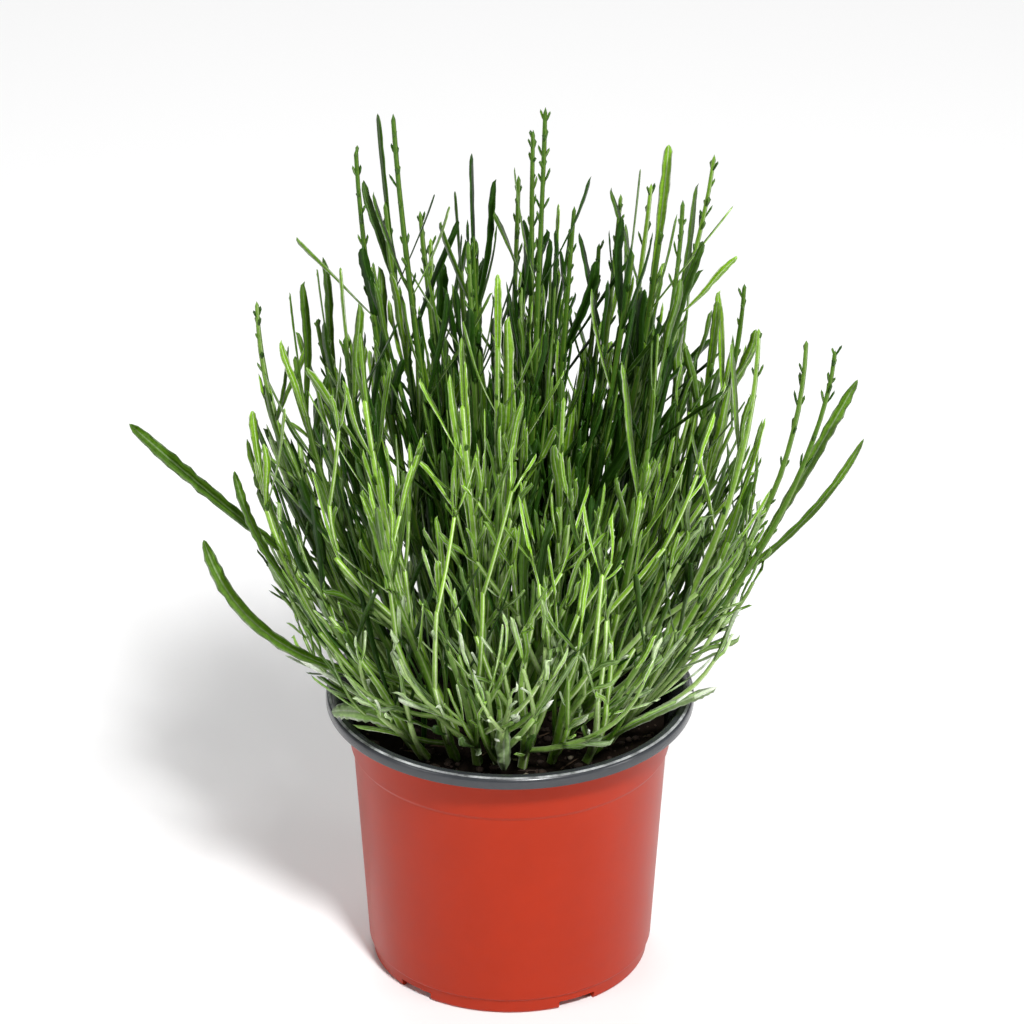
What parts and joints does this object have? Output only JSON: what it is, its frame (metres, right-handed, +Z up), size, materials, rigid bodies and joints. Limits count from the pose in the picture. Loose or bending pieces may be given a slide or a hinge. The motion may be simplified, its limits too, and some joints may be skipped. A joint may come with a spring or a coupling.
{
  "type": "potted lavender",
  "caption": "Young bushy lavender in a round nursery pot: a dense fan of narrow leaves and slim flower spikes rising from potting soil.",
  "frame": {"origin": "on the ground plane, on the axis of the pot", "axes": "+Z up along the pot's axis; +X to the right and -Y towards the viewer as the plant is pictured"},
  "size_m": [0.254, 0.1657, 0.328],
  "materials": {
    "pot_plastic": "satin injection-moulded plastic, terracotta orange outside, slate grey rim and dark inside",
    "potting_soil": "loose, moist peat-based potting soil",
    "foliage": "soft green leaves and stems, finely hairy and paler low down"
  },
  "bodies": {
    "root": {"pot": "pot_plastic", "soil": "potting_soil", "leafy_stem_01": "foliage", "leafy_stem_02": "foliage", "leafy_stem_03": "foliage", "leafy_stem_04": "foliage", "leafy_stem_05": "foliage", "leafy_stem_06": "foliage", "leafy_stem_07": "foliage", "leafy_stem_08": "foliage", "leafy_stem_09": "foliage", "leafy_stem_10": "foliage", "leafy_stem_11": "foliage", "leafy_stem_12": "foliage", "leafy_stem_13": "foliage", "leafy_stem_14": "foliage", "leafy_stem_15": "foliage", "leafy_stem_16": "foliage", "leafy_stem_17": "foliage", "leafy_stem_18": "foliage", "leafy_stem_19": "foliage", "leafy_stem_20": "foliage", "leafy_stem_21": "foliage", "leafy_stem_22": "foliage", "leafy_stem_23": "foliage", "leafy_stem_24": "foliage", "leafy_stem_25": "foliage", "leafy_stem_26": "foliage", "leafy_stem_27": "foliage", "leafy_stem_28": "foliage", "leafy_stem_29": "foliage", "leafy_stem_30": "foliage", "leafy_stem_31": "foliage", "leafy_stem_32": "foliage", "leafy_stem_33": "foliage", "leafy_stem_34": "foliage", "leafy_stem_35": "foliage", "leafy_stem_36": "foliage", "leafy_stem_37": "foliage", "leafy_stem_38": "foliage", "leafy_stem_39": "foliage", "leafy_stem_40": "foliage", "leafy_stem_41": "foliage", "leafy_stem_42": "foliage", "leafy_stem_43": "foliage", "leafy_stem_44": "foliage", "leafy_stem_45": "foliage", "leafy_stem_46": "foliage", "leafy_stem_47": "foliage", "leafy_stem_48": "foliage", "leafy_stem_49": "foliage", "leafy_stem_50": "foliage", "leafy_stem_51": "foliage", "leafy_stem_52": "foliage", "leafy_stem_53": "foliage", "leafy_stem_54": "foliage", "leafy_stem_55": "foliage", "leafy_stem_56": "foliage"}
  },
  "joints": []
}
